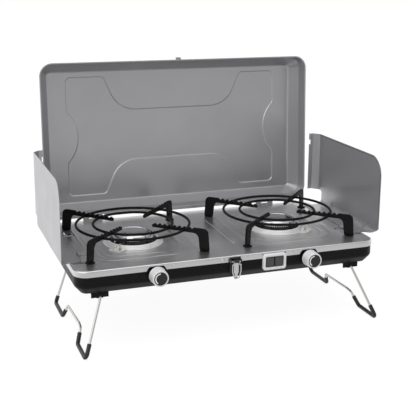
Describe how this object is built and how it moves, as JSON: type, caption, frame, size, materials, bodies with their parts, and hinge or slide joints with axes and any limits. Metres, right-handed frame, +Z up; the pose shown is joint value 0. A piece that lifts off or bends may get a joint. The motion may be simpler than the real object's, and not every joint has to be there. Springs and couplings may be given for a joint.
{
  "type": "camping stove",
  "caption": "Gas camping stove with two burners under wire pan supports, a rear-hinged lid, side windshields that fold inwards and folding wire legs.",
  "frame": {"origin": "middle of the open stove's footprint, on the surface it stands on", "axes": "+X along the width, towards the side with the igniter; +Y towards the hinged lid; +Z up"},
  "size_m": [0.6176, 0.3976, 0.4718],
  "materials": {
    "tray_black": "satin black enamel",
    "hob_steel": "brushed",
    "bright_steel": "bright plated",
    "support_black": "matt black enamel",
    "grommet_rubber": "matt",
    "burner_bright": "bright",
    "burner_dark": "matt",
    "port_alloy": "machined",
    "ceramic": "glazed",
    "brass": "bright",
    "zinc_steel": "plated",
    "bezel_silver": "silver",
    "dark_plastic": "matt",
    "latch_black": "satin",
    "hinge_steel": "brushed",
    "grey_paint": "satin grey enamel",
    "leg_steel": "plated wire",
    "vinyl_black": "vinyl",
    "knob_silver": "satin silver",
    "button_grey": "matt"
  },
  "bodies": {
    "root": {"base_tray": "tray_black", "hob_plate": "hob_steel", "hob_screws": "bright_steel", "burner_collar_left": "burner_bright", "burner_body_left": "burner_dark", "burner_port_ring_left": "port_alloy", "burner_cap_left": "burner_bright", "igniter_electrode_left": "ceramic", "thermocouple_left": "brass", "venturi_tube_left": "zinc_steel", "gas_injector_left": "brass", "gas_valve_left": "zinc_steel", "windshield_clips_left": "bright_steel", "burner_collar_right": "burner_bright", "burner_body_right": "burner_dark", "burner_port_ring_right": "port_alloy", "burner_cap_right": "burner_bright", "igniter_electrode_right": "ceramic", "thermocouple_right": "brass", "venturi_tube_right": "zinc_steel", "gas_injector_right": "brass", "gas_valve_right": "zinc_steel", "windshield_clips_right": "bright_steel", "pan_grommets": "grommet_rubber", "gas_manifold_pipe": "zinc_steel", "gas_inlet": "brass", "igniter_frame": "bezel_silver", "igniter_unit": "dark_plastic", "latch_bracket": "latch_black", "latch_rivets": "bright_steel", "latch_pin": "bright_steel", "lid_hinge_base_leaves": "hinge_steel", "lid_hinge_pins": "hinge_steel", "leg_brackets": "tray_black"},
    "lid": {"lid_shell": "grey_paint", "lid_catch": "bright_steel", "lid_studs": "bright_steel", "lid_hinge_straps": "hinge_steel"},
    "latch_lever": {"latch_lever": "bright_steel"},
    "latch_bail": {"latch_bail": "bright_steel"},
    "pan_support_left": {"pan_arms_left": "support_black", "pan_rings_left": "support_black"},
    "windshield_left": {"windshield_left": "grey_paint"},
    "leg_left": {"leg_wire_left": "leg_steel", "leg_sleeves_left": "vinyl_black"},
    "valve_stem_left": {"valve_spindle_left": "brass"},
    "knob_left": {"knob_body_left": "knob_silver", "knob_disc_left": "dark_plastic"},
    "button_left": {"igniter_button_left": "button_grey"},
    "pan_support_right": {"pan_arms_right": "support_black", "pan_rings_right": "support_black"},
    "windshield_right": {"windshield_right": "grey_paint"},
    "leg_right": {"leg_wire_right": "leg_steel", "leg_sleeves_right": "vinyl_black"},
    "valve_stem_right": {"valve_spindle_right": "brass"},
    "knob_right": {"knob_body_right": "knob_silver", "knob_disc_right": "dark_plastic"},
    "button_right": {"igniter_button_right": "button_grey"}
  },
  "joints": [
    {"name": "lid_hinge", "type": "hinge", "parent": "root", "child": "lid", "pos_m": [0, 0.14067, 0.1563], "axis": [1, 0, 0], "range_deg": [0, 92.9]},
    {"name": "pan_support_lift_left", "type": "slide", "parent": "root", "child": "pan_support_left", "axis": [0, 0, -1], "range_m": [-0.06, 0]},
    {"name": "windshield_fold_left", "type": "hinge", "parent": "root", "child": "windshield_left", "pos_m": [-0.265, -0.01633, 0.1526], "axis": [0, 1, 0], "range_deg": [0, 90]},
    {"name": "leg_fold_left", "type": "hinge", "parent": "root", "child": "leg_left", "pos_m": [-0.245, -0.01633, 0.098], "axis": [0, -1, 0], "range_deg": [0, 110.73]},
    {"name": "knob_press_left", "type": "slide", "parent": "root", "child": "valve_stem_left", "axis": [0, 1, 0], "range_m": [0, 0.003], "stiffness_N_per_m": 1500, "springref_m": -0.001},
    {"name": "knob_turn_left", "type": "hinge", "parent": "valve_stem_left", "child": "knob_left", "pos_m": [-0.147, -0.19633, 0.132], "axis": [0, -1, 0], "range_deg": [0, 210]},
    {"name": "button_press_left", "type": "slide", "parent": "root", "child": "button_left", "axis": [0, 1, 0], "range_m": [0, 0.004], "stiffness_N_per_m": 600, "springref_m": -0.001},
    {"name": "pan_support_lift_right", "type": "slide", "parent": "root", "child": "pan_support_right", "axis": [0, 0, -1], "range_m": [-0.06, 0]},
    {"name": "windshield_fold_right", "type": "hinge", "parent": "root", "child": "windshield_right", "pos_m": [0.265, -0.01633, 0.1526], "axis": [0, -1, 0], "range_deg": [0, 90]},
    {"name": "leg_fold_right", "type": "hinge", "parent": "root", "child": "leg_right", "pos_m": [0.245, -0.01633, 0.098], "axis": [0, 1, 0], "range_deg": [0, 110.73]},
    {"name": "knob_press_right", "type": "slide", "parent": "root", "child": "valve_stem_right", "axis": [0, 1, 0], "range_m": [0, 0.003], "stiffness_N_per_m": 1500, "springref_m": -0.001},
    {"name": "knob_turn_right", "type": "hinge", "parent": "valve_stem_right", "child": "knob_right", "pos_m": [0.147, -0.19633, 0.132], "axis": [0, -1, 0], "range_deg": [0, 210]},
    {"name": "button_press_right", "type": "slide", "parent": "root", "child": "button_right", "axis": [0, 1, 0], "range_m": [0, 0.004], "stiffness_N_per_m": 600, "springref_m": -0.001},
    {"name": "latch_lift", "type": "hinge", "parent": "root", "child": "latch_lever", "pos_m": [0, -0.17633, 0.141], "axis": [-1, 0, 0], "range_deg": [0, 150]},
    {"name": "bail_swing", "type": "hinge", "parent": "latch_lever", "child": "latch_bail", "pos_m": [0, -0.17953, 0.1365], "axis": [1, 0, 0], "range_deg": [-178, 0]}
  ]
}
